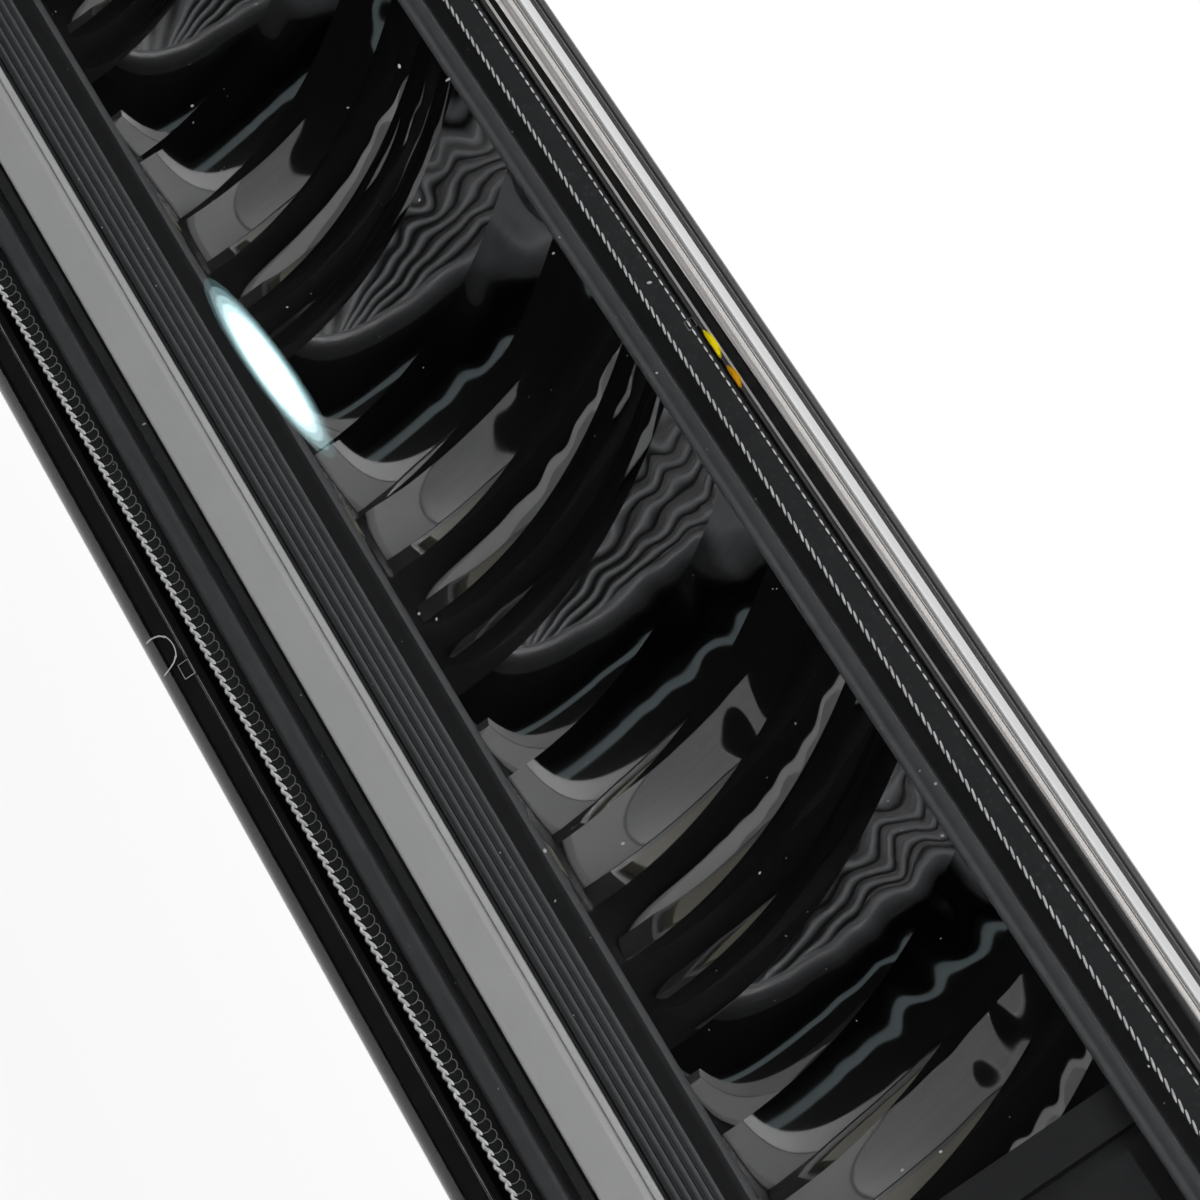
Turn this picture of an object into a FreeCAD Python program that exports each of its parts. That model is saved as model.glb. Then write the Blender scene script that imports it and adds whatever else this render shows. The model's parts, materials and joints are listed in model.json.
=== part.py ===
import FreeCAD, Part
import math
import os

V = FreeCAD.Vector

# Driving dimensions, in millimetres

# Reflector cells
pitch = 30.0                    # from one cell to the next
cells_per_group = 5
flutes_per_cell = 6             # upright strips across one cell
flute_rise = 0.22               # how far a strip bulges towards the front
focal_length = 8.6
reflector_wall = 2.2
reflector_flange = 1.5
flange_front = 1.0
flange_back = 1.3
crest_setback = 1.7             # cell edges behind the bezel's rail
reflector_foot = 1.6
foot_depth = 6.4

# Front stack, along the bar
centre_field = 26.0             # bare field between the two groups
end_margin = 6.0                # bezel past the last cell

# Front stack, from the lower edge of the bezel upwards
lower_flange = 1.75
band_height = 1.3
groove_width = 0.5
strip_lip = 0.7
strip_height = 2.9
strip_gap = 0.15
nose_height = 0.3
ledge_rise = 0.7                # from the nose to the foot of the lip
focus_rise = 1.0                # focus above the ledge
lip_rise = 1.55
lip_width = 1.5
led_setback = 2.0               # from the lip to the LEDs
rib_count = 5
rib_pitch = 0.78
rib_radius = 0.27
rib_lead = 0.74                 # from the slope's foot to the first rib
rib_trail = 0.5                 # from the last rib to the lip
rail_height = 1.45
upper_flange = 2.65
rail_cover = 0.55               # how much of the reflector's top the rail hides

# Front stack, from the lens backwards
bezel_setback = 2.1
strip_setback = 0.3
nose_setback = 0.6
band_step = 1.0
rail_step = 1.6
upper_step = 3.0
field_step = 4.4
field_relief = 0.8
field_groove = 1.2
bezel_wall = 1.5
strip_depth = 6.5
strip_taper = 9.0               # degrees by which the strip's top falls to the back
strip_chamfer = 0.6
strip_end = 3.0                 # from the last cell's edge to the strip's end
crossbar_width = 2.7
crossbar_step = 3.8

# Lens and its seal
face_height = 40.8
lens_wall = 2.1
lens_depth = 10.0
lens_draft = 4.0                # degrees
lens_edge_radius = 1.8
lens_corner_radius = 4.0
seal_thickness = 1.0
fit_gap = 0.35                  # between lens, bezel and end caps

# Body
rim_proud = 0.45                # how far the body stands out past the lens
rim_length = 4.0
housing_wall = 2.6
seat_depth = 2.0                # from the body's front edge to the bezel's seat
seat_width = 2.2
seat_rib = 2.6
body_taper = 5.5                # degrees
back_wall = 4.0
back_gap = 0.5                  # between boards and back wall
shelf_thickness = 3.0
shelf_web = 1.6                 # thin front part, under the bezel's slope
web_gap = 0.4                   # from the slope to that part
fin_count = 7
fin_thickness = 1.8
fin_length = 12.0
fin_crown = 3.0                 # how much shorter the outer fins are
channel_radius = 3.2
channel_bore = 1.65

# Circuit boards and LEDs
board_thickness = 1.6
board_front = 0.7               # from the bezel's lip to the board
led_side = 3.5
led_height = 0.7
phosphor_side = 2.4
phosphor_height = 0.2
strip_led_spacing = 15.0
strip_led_width = 2.0
strip_led_height = 1.0
strip_led_depth = 0.7
strip_board_height = 3.8
strip_board_gap = 0.2           # under the bezel's roof
driver_length = 110.0
driver_clearance = 2.7          # above the board screws
spacer_length = 2.0
spacer_radius = 2.4
spacer_gap = 0.4                # from screw heads and parts to the board's edge
inductor_side = 7.0
inductor_gap = 0.8              # behind the reflectors
capacitor_radius = 3.0
capacitor_length = 8.0
chip_side = 5.0
chip_height = 1.2
inductor_place = 26.0
capacitor_place = 5.0
inner_chip = 15.0
outer_chip = 36.0

# End caps
gasket_thickness = 1.0
end_gap = 0.3                   # between bezel and end caps
cap_thickness = 8.0
cap_edge_radius = 1.2
cap_margin = 1.2                # past the fin tips
hub_radius = 8.0
hub_length = 4.6
hub_gap = 3.0                   # in front of the back wall

# Fasteners
small_screw_radius = 1.45
small_head_radius = 2.8
small_head_height = 1.8
cap_screw_radius = 1.6
cap_head_radius = 3.5
cap_head_height = 2.4
cap_screw_length = 16.0
screw_clearance = 0.05
hole_clearance = 0.25

# Cable inlet and vent
gland_place = 78.0
gland_thread_radius = 5.0
gland_flats = 14.0
gland_collar = 5.0
dome_nut_radius = 7.0
dome_nut_length = 10.0
lock_nut_flats = 13.0
lock_nut_thickness = 3.0
inlet_bore = 3.0
seal_wall = 1.0
spot_margin = 3.0               # milled flat round the inlet and vent
vent_place = 78.0
vent_radius = 3.8
vent_head_radius = 6.0
vent_head_height = 4.0

# Brackets and pivots
axis_height = 46.0              # from the feet to the tilt axis
bracket_thickness = 4.0
bracket_top_radius = 15.0
foot_width = 38.0
foot_length = 32.0
foot_corner_radius = 6.0
bend_radius = 4.0
slot_width = 9.0
slot_length = 15.0
slot_inset = 19.0               # from the bracket's upright to the slot's middle
bolt_radius = 3.9
bolt_flats = 13.0
bolt_head_height = 5.3
thread_depth = 11.0
washer_radius = 8.0
washer_thickness = 1.6
spacer_ring_radius = 11.0
spacer_ring_thickness = 2.0
pivot_clearance = 0.35
face_clearance = 0.1


# Derived heights, measured from the middle of the lens
bezel_half_height = face_height / 2 - lens_wall - fit_gap
z_bottom = -bezel_half_height
z_band = z_bottom + lower_flange
z_groove = z_band + band_height
z_strip_lip = z_groove + groove_width
z_slot = z_strip_lip + strip_lip
z_strip = z_slot + strip_gap
z_slot_top = z_strip + strip_height + strip_gap
z_nose = z_slot_top + nose_height
z_ledge = z_nose + ledge_rise
z_lip = z_ledge + lip_rise
z_focus = z_ledge + focus_rise
z_board = z_focus - led_height - phosphor_height
z_shelf = z_board - board_thickness
z_shelf_under = z_shelf - shelf_thickness
z_rail_top = bezel_half_height - upper_flange
z_rail = z_rail_top - rail_height
z_reflector = z_rail + rail_cover

# Derived depths, measured from the front of the lens
y_band = lens_wall + bezel_setback
y_flange = y_band + band_step
y_rail = y_band + rail_step
y_upper = y_band + upper_step
y_field = y_band + field_step
y_crossbar = y_band + crossbar_step
y_strip = y_band + strip_setback
y_nose = y_band + nose_setback
y_rim = lens_depth + seal_thickness
y_seat = y_rim + seat_depth
y_rail_back = y_rim
four_f = 4 * focal_length
y_crest_top = y_rail_back + crest_setback
y_vertex = y_crest_top + ((pitch / 2) ** 2 + (z_reflector - z_focus) ** 2) / four_f
y_focus = y_vertex - focal_length
y_lip_back = y_focus - led_side / 2 - led_setback
y_lip = y_lip_back - lip_width
y_board = y_lip_back + board_front
y_foot = y_lip - rib_trail - rib_pitch * (rib_count - 1) - rib_lead
y_strip_back = y_strip + strip_depth
y_strip_led = y_strip_back + strip_gap
y_strip_board = y_strip_led + strip_led_depth
y_web = y_strip_board + board_thickness
y_shelf = y_lip_back + fit_gap
y_board_back = y_vertex + reflector_wall + foot_depth
y_inner_back = y_board_back + back_gap
y_outer_back = y_inner_back + back_wall
axis_depth = y_inner_back - hub_radius - hub_gap
y_fin_tip = y_outer_back + fin_length
y_flange_back = y_crest_top + ((pitch / 2) ** 2) / four_f + flange_back

# Roof over the opal strip, which falls to the foot of the ribbed slope
roof_fall = math.tan(math.radians(strip_taper))


def under_roof(y):
    return z_slot_top - roof_fall * (y - y_nose)


z_foot = under_roof(y_foot) + nose_height
z_strip_back = z_strip + strip_height - roof_fall * (y_strip_back - y_nose)
z_web_top = z_foot - bezel_wall - web_gap
z_web = z_web_top - shelf_web

# Derived lengths along the bar
group_inner = centre_field / 2
group_outer = group_inner + cells_per_group * pitch
bezel_half_length = group_outer + end_margin
cap_inner = bezel_half_length + end_gap
housing_half_length = cap_inner - gasket_thickness
cap_outer = cap_inner + cap_thickness
strip_half_length = group_outer - strip_end
lens_flare = lens_depth * math.tan(math.radians(lens_draft))
lens_half_length = bezel_half_length + fit_gap + lens_wall
body_half_height = face_height / 2 + lens_flare + rim_proud

# Where the lamp's own origin, the middle of the lens front, lies in the part
lamp_place = V(0, -axis_depth, axis_height)


def profile(corners):
    """Upright face at x = 0 from corners (y, z) or (y, z, radius), with rounded corners."""
    points = [V(0, c[0], c[1]) for c in corners]
    radii = [c[2] if len(c) > 2 else 0 for c in corners]
    edges = []
    ends = []
    for i, here in enumerate(points):
        before = points[i - 1] - here
        after = points[(i + 1) % len(points)] - here
        if radii[i] == 0:
            ends.append((here, here))
            continue
        half = before.getAngle(after) / 2
        reach = radii[i] / math.tan(half)
        before.normalize()
        after.normalize()
        start = here + before * reach
        stop = here + after * reach
        inward = (before + after).normalize()
        middle = here + inward * (radii[i] / math.sin(half) - radii[i])
        ends.append((start, stop))
        edges.append(Part.Arc(start, middle, stop).toShape())
    for i, (start, stop) in enumerate(ends):
        following = ends[(i + 1) % len(ends)][0]
        if stop.distanceToPoint(following) > 1e-6:
            edges.append(Part.LineSegment(stop, following).toShape())
    return Part.Face(Part.Wire(Part.__sortEdges__(edges)))


def along_x(face, x0, x1):
    """Solid from an upright face, between two places along the bar."""
    solid = face.extrude(V(x1 - x0, 0, 0))
    solid.translate(V(x0, 0, 0))
    return solid


def block(x0, x1, y0, y1, z0, z1):
    return Part.makeBox(x1 - x0, y1 - y0, z1 - z0, V(x0, y0, z0))


def rod(radius, start, along):
    return Part.makeCylinder(radius, along.Length, start, along)


def hexagon(flats, start, along):
    """Hexagonal prism with the given width across flats."""
    corner = flats / math.sqrt(3)
    side = V(1, 0, 0) if abs(along.x) < 0.5 * along.Length else V(0, 0, 1)
    points = []
    for i in range(7):
        turn = FreeCAD.Rotation(along, 60 * i)
        points.append(start + turn.multVec(side * corner))
    return Part.Face(Part.makePolygon(points)).extrude(along)


def rounded_frame(half_length, half_height, radius, y):
    """Wire of a rounded rectangle that stands across the depth axis."""
    straight = [
        (half_length, half_height),
        (half_length, -half_height),
        (-half_length, -half_height),
        (-half_length, half_height),
    ]
    edges = []
    turn = math.sqrt(0.5)
    for i, (x, z) in enumerate(straight):
        sx, sz = math.copysign(1, x), math.copysign(1, z)
        centre = V(x - sx * radius, y, z - sz * radius)
        ends = [centre + V(sx * radius, 0, 0), centre + V(0, 0, sz * radius)]
        if sx * sz > 0:
            ends.reverse()
        middle = centre + V(sx * radius * turn, 0, sz * radius * turn)
        edges.append((ends[0], middle, ends[1]))
    made = []
    for i, (start, middle, stop) in enumerate(edges):
        made.append(Part.Arc(start, middle, stop).toShape())
        made.append(Part.LineSegment(stop, edges[(i + 1) % 4][0]).toShape())
    return Part.Wire(made)


def mirrored(shape):
    return shape.mirror(V(0, 0, 0), V(1, 0, 0))


nodes = {}

# Front lens: a drafted tray of clear plastic, sharp inside and rounded outside
outside = Part.makeLoft([
    rounded_frame(lens_half_length, face_height / 2, lens_corner_radius, 0),
    rounded_frame(lens_half_length + lens_flare, face_height / 2 + lens_flare,
                  lens_corner_radius + lens_flare, lens_depth),
], True, True)
front_edges = [e for e in outside.Edges if max(abs(v.Y) for v in e.Vertexes) < 1e-6]
outside = outside.makeFillet(lens_edge_radius, front_edges)
inner_radius = max(lens_corner_radius - lens_wall, 0.5)
inner_front = lens_flare * lens_wall / lens_depth
inside = Part.makeLoft([
    rounded_frame(lens_half_length - lens_wall + inner_front, face_height / 2 - lens_wall + inner_front,
                  inner_radius, lens_wall),
    rounded_frame(lens_half_length - lens_wall + lens_flare, face_height / 2 - lens_wall + lens_flare,
                  inner_radius + lens_flare, lens_depth),
], True, True)
nodes["front_lens"] = outside.cut(inside)

# Rubber ring behind the lens rim
ring = Part.Face(rounded_frame(lens_half_length + lens_flare, face_height / 2 + lens_flare,
                               lens_corner_radius + lens_flare, lens_depth))
ring = ring.cut(Part.Face(rounded_frame(lens_half_length - lens_wall + lens_flare,
                                        face_height / 2 - lens_wall + lens_flare,
                                        inner_radius + lens_flare, lens_depth)))
nodes["lens_seal"] = ring.extrude(V(0, seal_thickness, 0))


# Bezel: lower flange with band and groove, ribbed ledge with lip, and upper rail
def ribbed_ledge():
    """Section from the nose over the opal strip to the lip, with half-round ribs up the slope."""
    slope = V(0, y_lip - y_foot, z_ledge - z_foot)
    along = V(slope)
    along.normalize()
    outwards = V(0, -along.z, along.y)
    foot = V(0, y_foot, z_foot)
    here = V(0, y_nose, z_nose)
    edges = []
    corners = [foot]
    for i in range(rib_count):
        middle = foot + slope * ((rib_lead + rib_pitch * i) / slope.y)
        start = middle - along * rib_radius
        stop = middle + along * rib_radius
        for corner in corners + [start]:
            edges.append(Part.LineSegment(here, corner).toShape())
            here = corner
        edges.append(Part.Arc(start, middle + outwards * rib_radius, stop).toShape())
        here = stop
        corners = []
    for corner in (V(0, y_lip, z_ledge), V(0, y_lip, z_lip - lip_width / 2)):
        edges.append(Part.LineSegment(here, corner).toShape())
        here = corner
    top = V(0, y_lip + lip_width / 2, z_lip)
    back = V(0, y_lip_back, z_lip - lip_width / 2)
    edges.append(Part.Arc(here, top, back).toShape())
    here = back
    thick_from = max(y_foot, y_web + fit_gap + bezel_wall)
    thick_foot = foot + slope * ((thick_from - y_foot) / slope.y)
    underside = [
        V(0, y_lip_back, z_ledge - bezel_wall),
        thick_foot - V(0, 0, bezel_wall),
        V(0, y_web + fit_gap, under_roof(y_web + fit_gap)),
        V(0, y_nose, z_slot_top),
        V(0, y_nose, z_nose),
    ]
    for corner in underside:
        edges.append(Part.LineSegment(here, corner).toShape())
        here = corner
    return Part.Face(Part.Wire(edges))


lower_front = profile([
    (y_seat, z_bottom),
    (y_flange, z_bottom),
    (y_flange, z_band - 0.15),
    (y_band, z_band, 0.4),
    (y_band, z_groove, 0.4),
    (y_band + 0.8, z_groove),
    (y_band + 0.8, z_strip_lip),
    (y_band + 0.2, z_strip_lip, 0.2),
    (y_band + 0.2, z_slot),
    (y_flange + 2 * bezel_wall, z_slot),
    (y_flange + 2 * bezel_wall, z_bottom + bezel_wall),
    (y_seat, z_bottom + bezel_wall),
])
upper_front = profile([
    (y_rail_back, z_rail),
    (y_rail + 0.7, z_rail, 0.6),
    (y_rail, z_rail_top, 0.5),
    (y_upper, z_rail_top),
    (y_upper, bezel_half_height),
    (y_seat, bezel_half_height),
    (y_seat, bezel_half_height - bezel_wall),
    (y_upper + bezel_wall, bezel_half_height - bezel_wall),
    (y_upper + bezel_wall, z_rail_top - 0.2),
    (y_rail_back, z_rail_top - 0.2),
])
crossbar = profile([
    (y_crossbar, under_roof(y_crossbar)),
    (y_crossbar, z_rail_top - 0.3),
    (y_rail_back, z_rail_top - 0.3),
    (y_crest_top - flange_front - 0.4, z_rail),
    (y_lip_back - 0.2, z_ledge),
    (y_lip_back - 0.2, z_ledge - nose_height),
    (y_foot, under_roof(y_foot)),
])
bezel = along_x(lower_front, -bezel_half_length, bezel_half_length)
bezel = bezel.fuse([
    along_x(ribbed_ledge(), -bezel_half_length, bezel_half_length),
    along_x(upper_front, -bezel_half_length, bezel_half_length),
    block(-group_inner - 0.1, group_inner + 0.1, y_field, y_field + bezel_wall,
          under_roof(y_field), z_rail_top - 0.3),
    block(-group_inner + field_groove, group_inner - field_groove, y_field - field_relief, y_field + 0.1,
          z_ledge + field_groove, z_rail - field_groove),
])
for side in (-1, 1):
    for x in (group_inner, group_outer - crossbar_width):
        bezel = bezel.fuse(along_x(crossbar, min(side * x, side * (x + crossbar_width)),
                                   max(side * x, side * (x + crossbar_width))))
    end_field = block(group_outer - 0.1, bezel_half_length, y_upper, y_upper + bezel_wall,
                      z_bottom + bezel_wall / 2, z_rail_top)
    strip_stop = block(strip_half_length + strip_gap, bezel_half_length, y_band + 0.6,
                       y_nose + bezel_wall, z_slot - 0.3, z_slot_top)
    for piece in (end_field, strip_stop):
        bezel = bezel.fuse(piece if side > 0 else mirrored(piece))
nodes["bezel"] = bezel.removeSplitter()


# Reflectors: rows of half-paraboloid cells of upright strips that bulge a little, moulded as one shell
def depth_poles(z0, z1):
    """Pole heights and depths of the upright parabola between two heights above the focus."""
    return [(z0, z0 * z0 / four_f), ((z0 + z1) / 2, z0 * z1 / four_f), (z1, z1 * z1 / four_f)]


def patch(across, upright, back):
    """Exact surface swept by one parabola along another, from their poles."""
    surface = Part.BezierSurface()
    surface.increase(2, 2)
    for i, (x, dx) in enumerate(across):
        for j, (z, dz) in enumerate(upright):
            surface.setPole(i + 1, j + 1, V(x, y_vertex + back - dx - dz, z_focus + z))
    return surface.toShape()


def level_edge(across, z, dz, back):
    curve = Part.BezierCurve()
    curve.setPoles([V(x, y_vertex + back - dx - dz, z_focus + z) for x, dx in across])
    return curve.toShape()


def upright_edge(x, dx, upright, back):
    curve = Part.BezierCurve()
    curve.setPoles([V(x, y_vertex + back - dx - dz, z_focus + z) for z, dz in upright])
    return curve.toShape()


def strip_poles(middle, u0, u1, bulge):
    """Poles across a strip between two distances from the cell's middle."""
    d0, d1 = u0 * u0 / four_f, u1 * u1 / four_f
    return [(middle + u0, d0), (middle + (u0 + u1) / 2, (d0 + d1) / 2 + 2 * bulge), (middle + u1, d1)]


def cell_poles(middle):
    """Poles across the smooth back of one cell."""
    half = pitch / 2
    return [(middle - half, half * half / four_f), (middle, -half * half / four_f),
            (middle + half, half * half / four_f)]


def reflector(x_start):
    upright = depth_poles(z_board - z_focus, z_reflector - z_focus)
    strip_width = pitch / flutes_per_cell
    faces, front_lines, back_lines = [], [], []
    for cell in range(cells_per_group):
        middle = x_start + pitch * (cell + 0.5)
        for strip in range(flutes_per_cell):
            u = strip * strip_width - pitch / 2
            across = strip_poles(middle, u, u + strip_width, flute_rise)
            faces.append(patch(across, upright, 0))
            front_lines.append(across)
        faces.append(patch(cell_poles(middle), upright, reflector_wall))
        back_lines.append(cell_poles(middle))
    x_stop = x_start + pitch * cells_per_group
    end_depth = (pitch / 2) ** 2 / four_f
    for z, dz in (upright[0], upright[-1]):
        edges = [level_edge(line, z, dz, 0) for line in front_lines]
        edges += [level_edge(line, z, dz, reflector_wall) for line in back_lines]
        for x in (x_start, x_stop):
            start = V(x, y_vertex - end_depth - dz, z_focus + z)
            edges.append(Part.LineSegment(start, start + V(0, reflector_wall, 0)).toShape())
        faces.append(Part.Face(Part.Wire(Part.__sortEdges__(edges))))
    for x in (x_start, x_stop):
        edges = [upright_edge(x, end_depth, upright, 0), upright_edge(x, end_depth, upright, reflector_wall)]
        for z, dz in (upright[0], upright[-1]):
            start = V(x, y_vertex - end_depth - dz, z_focus + z)
            edges.append(Part.LineSegment(start, start + V(0, reflector_wall, 0)).toShape())
        faces.append(Part.Face(Part.Wire(Part.__sortEdges__(edges))))
    shell = Part.Compound(faces)
    shell.sewShape()
    solid = Part.Solid(shell.Shells[0])
    if solid.Volume < 0:
        solid.reverse()
    flange = block(x_start, x_stop, y_crest_top - flange_front, y_flange_back,
                   z_reflector, z_reflector + reflector_flange)
    foot = block(x_start, x_stop, y_vertex + reflector_wall * 0.4, y_board_back,
                 z_board, z_board + reflector_foot)
    return solid.fuse([flange, foot])


screw_y = y_board_back - small_head_radius - 0.3
screw_places = []
for side in (-1, 1):
    for cell in (0.5, cells_per_group / 2, cells_per_group - 0.5):
        screw_places.append(side * (group_inner + pitch * cell))


def small_holes(shape, radius, z0, z1):
    """The shape with the holes of the board screws through it."""
    for x in screw_places:
        shape = shape.cut(rod(radius, V(x, screw_y, z0), V(0, 0, z1 - z0)))
    return shape


hole_radius = small_screw_radius + hole_clearance
left_reflector = reflector(-group_outer)
right_reflector = reflector(group_inner)
for name, shape in (("reflector_left", left_reflector), ("reflector_right", right_reflector)):
    nodes[name] = small_holes(shape, hole_radius, z_board - 1, z_board + reflector_foot + 1)

# Boards under the reflectors, with one LED at each focus
board_end = 0.6
for name, middle in (("led_board_left", -1), ("led_board_right", 1)):
    ends = sorted([middle * (group_inner + board_end), middle * (group_outer - board_end)])
    board = block(ends[0], ends[1], y_board, y_board_back, z_shelf, z_board)
    nodes[name] = small_holes(board, hole_radius, z_shelf - 1, z_board + 1)
packages, phosphors = [], []
for side in (-1, 1):
    for cell in range(cells_per_group):
        x = side * (group_inner + pitch * (cell + 0.5))
        packages.append(block(x - led_side / 2, x + led_side / 2, y_focus - led_side / 2,
                              y_focus + led_side / 2, z_board, z_board + led_height))
        phosphors.append(block(x - phosphor_side / 2, x + phosphor_side / 2, y_focus - phosphor_side / 2,
                               y_focus + phosphor_side / 2, z_board + led_height, z_focus))
nodes["led_packages"] = Part.Compound(packages)
nodes["led_phosphors"] = Part.Compound(phosphors)
screws = []
for x in screw_places:
    shank = rod(small_screw_radius, V(x, screw_y, z_shelf_under),
                V(0, 0, z_board + reflector_foot - z_shelf_under))
    head = rod(small_head_radius, V(x, screw_y, z_board + reflector_foot), V(0, 0, small_head_height))
    screws.append(shank.fuse(head))
nodes["board_screws"] = Part.Compound(screws)

# Opal bar of the position light, its board and its LEDs
opal = profile([
    (y_strip, z_strip, 0.2),
    (y_strip, z_strip + strip_height - strip_chamfer),
    (y_nose, z_strip + strip_height, strip_gap),
    (y_strip_back, z_strip_back),
    (y_strip_back, z_strip),
])
nodes["position_diffuser"] = along_x(opal, -strip_half_length, strip_half_length)
z_strip_middle = (z_strip + z_strip_back) / 2
z_strip_board = under_roof(y_web) - strip_board_gap
nodes["strip_board"] = block(-strip_half_length, strip_half_length, y_strip_board, y_web,
                             z_strip_board - strip_board_height, z_strip_board)
strip_led_count = 2 * int((strip_half_length - strip_led_width) / strip_led_spacing) + 1
strip_leds = []
for i in range(strip_led_count):
    x = (i - (strip_led_count - 1) / 2) * strip_led_spacing
    strip_leds.append(block(x - strip_led_width / 2, x + strip_led_width / 2, y_strip_led, y_strip_board,
                            z_strip_middle - strip_led_height / 2, z_strip_middle + strip_led_height / 2))
nodes["strip_leds"] = Part.Compound(strip_leds)

# Body: an extrusion with seat ribs, a board shelf, screw channels and cooling fins
y_taper = y_rim + rim_length
slope = math.tan(math.radians(body_taper))


def outer_z(y):
    return body_half_height - slope * max(y - y_taper, 0)


def inner_z(y):
    return outer_z(y) - housing_wall


def both_sides(upper):
    """Closed outline from the corners of its upper half, front to back."""
    return upper + [(c[0], -c[1]) + tuple(c[2:]) for c in reversed(upper)]


body_outline = both_sides([
    (y_rim, body_half_height),
    (y_taper, body_half_height),
    (y_outer_back, outer_z(y_outer_back)),
])
seat_z = bezel_half_height - seat_rib + 0.8
y_seat_back = y_seat + seat_width
front_z = body_half_height - housing_wall
cavity_outline = both_sides([
    (y_rim, front_z),
    (y_seat, front_z),
    (y_seat, seat_z),
    (y_seat_back, seat_z),
    (y_seat_back, inner_z(y_seat_back)),
    (y_inner_back, inner_z(y_inner_back)),
])
y_channel_back = y_inner_back - channel_radius + 0.6
y_channel_front = y_flange_back + channel_radius + 0.6
y_channel_shelf = y_shelf + channel_radius
channels = [
    (y_channel_back, inner_z(y_channel_back) - channel_radius + 0.6),
    (y_channel_front, inner_z(y_channel_front) - channel_radius + 2.0),
    (y_channel_back, (z_shelf_under - inner_z(y_channel_back)) / 2),
    (y_channel_shelf, (z_shelf_under - inner_z(y_channel_shelf)) / 2),
]
x0, x1 = -housing_half_length, housing_half_length
solid_body = along_x(profile(body_outline), x0, x1)
cavity = along_x(profile(cavity_outline), x0 - 1, x1 + 1)
shelf = block(x0, x1, y_shelf, y_inner_back + 0.5, z_shelf_under, z_shelf)
web = block(x0, x1, y_web, y_shelf + shelf_thickness, z_web, z_web_top)
web = web.fuse(block(x0, x1, y_shelf, y_shelf + shelf_thickness, z_web, z_shelf))
rods = [rod(channel_radius, V(x0, y, z), V(x1 - x0, 0, 0)) for y, z in channels]
ribs = shelf.fuse([web] + rods).common(solid_body)
fins = []
fin_span = outer_z(y_outer_back) - fin_thickness / 2
for i in range(fin_count):
    z = fin_span * (2 * i / (fin_count - 1) - 1)
    tip = y_fin_tip - fin_crown * (z / fin_span) ** 2
    fin = profile([
        (y_outer_back - 0.5, z - fin_thickness / 2),
        (tip, z - fin_thickness * 0.35, fin_thickness * 0.3),
        (tip, z + fin_thickness * 0.35, fin_thickness * 0.3),
        (y_outer_back - 0.5, z + fin_thickness / 2),
    ])
    fins.append(along_x(fin, x0, x1))
housing = solid_body.cut(cavity).fuse([ribs] + fins)
for y, z in channels:
    housing = housing.cut(rod(channel_bore, V(x0 - 1, y, z), V(x1 - x0 + 2, 0, 0)))
housing = small_holes(housing, small_screw_radius + screw_clearance, z_shelf_under - 1, z_shelf + 1)

# Milled flats and holes for the cable inlet and the vent
inlet_z = (z_board + reflector_foot + channels[0][1] - channel_radius) / 2
spots = (
    (gland_place, gland_flats / math.sqrt(3) + spot_margin, gland_thread_radius + screw_clearance),
    (-vent_place, vent_head_radius + spot_margin, vent_radius + screw_clearance),
)
for x, flat_radius, bore_radius in spots:
    housing = housing.cut(rod(flat_radius, V(x, y_outer_back, inlet_z), V(0, fin_length + 1, 0)))
    housing = housing.cut(rod(bore_radius, V(x, y_inner_back - 1, inlet_z), V(0, back_wall + 2, 0)))
nodes["housing"] = housing.removeSplitter()

# Cable inlet: body, dome nut, lock nut and rubber seal
gland_out = y_outer_back + gland_collar
inside_reach = lock_nut_thickness + 0.6
seal_radius = inlet_bore + seal_wall
gland = hexagon(gland_flats, V(gland_place, y_outer_back, inlet_z), V(0, gland_collar, 0))
gland = gland.fuse([
    rod(gland_thread_radius, V(gland_place, y_inner_back - inside_reach, inlet_z),
        V(0, back_wall + inside_reach, 0)),
    rod(gland_thread_radius, V(gland_place, gland_out, inlet_z), V(0, dome_nut_length * 0.6, 0)),
])
gland = gland.cut(rod(seal_radius + screw_clearance, V(gland_place, y_inner_back - inside_reach - 1, inlet_z),
                      V(0, 60, 0)))
nodes["gland_body"] = gland
dome_nut = rod(dome_nut_radius, V(gland_place, gland_out, inlet_z), V(0, dome_nut_length, 0))
dome_rim = [e for e in dome_nut.Edges if min(v.Y for v in e.Vertexes) > gland_out + dome_nut_length - 0.01]
dome_nut = dome_nut.makeFillet(dome_nut_radius * 0.35, dome_rim)
dome_nut = dome_nut.cut(rod(gland_thread_radius + screw_clearance, V(gland_place, gland_out - 1, inlet_z),
                            V(0, dome_nut_length * 0.6 + 1, 0)))
nodes["gland_dome_nut"] = dome_nut.cut(rod(seal_radius + screw_clearance, V(gland_place, gland_out, inlet_z),
                                           V(0, dome_nut_length + 1, 0)))
lock_nut = hexagon(lock_nut_flats, V(gland_place, y_inner_back - lock_nut_thickness, inlet_z),
                   V(0, lock_nut_thickness, 0))
nodes["gland_lock_nut"] = lock_nut.cut(rod(gland_thread_radius + screw_clearance,
                                           V(gland_place, y_inner_back - lock_nut_thickness - 1, inlet_z),
                                           V(0, lock_nut_thickness + 2, 0)))
seal_length = gland_out + dome_nut_length - y_inner_back
grommet = rod(seal_radius, V(gland_place, y_inner_back, inlet_z), V(0, seal_length, 0))
nodes["gland_seal"] = grommet.cut(rod(inlet_bore, V(gland_place, y_inner_back - 1, inlet_z),
                                       V(0, seal_length + 2, 0)))

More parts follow.
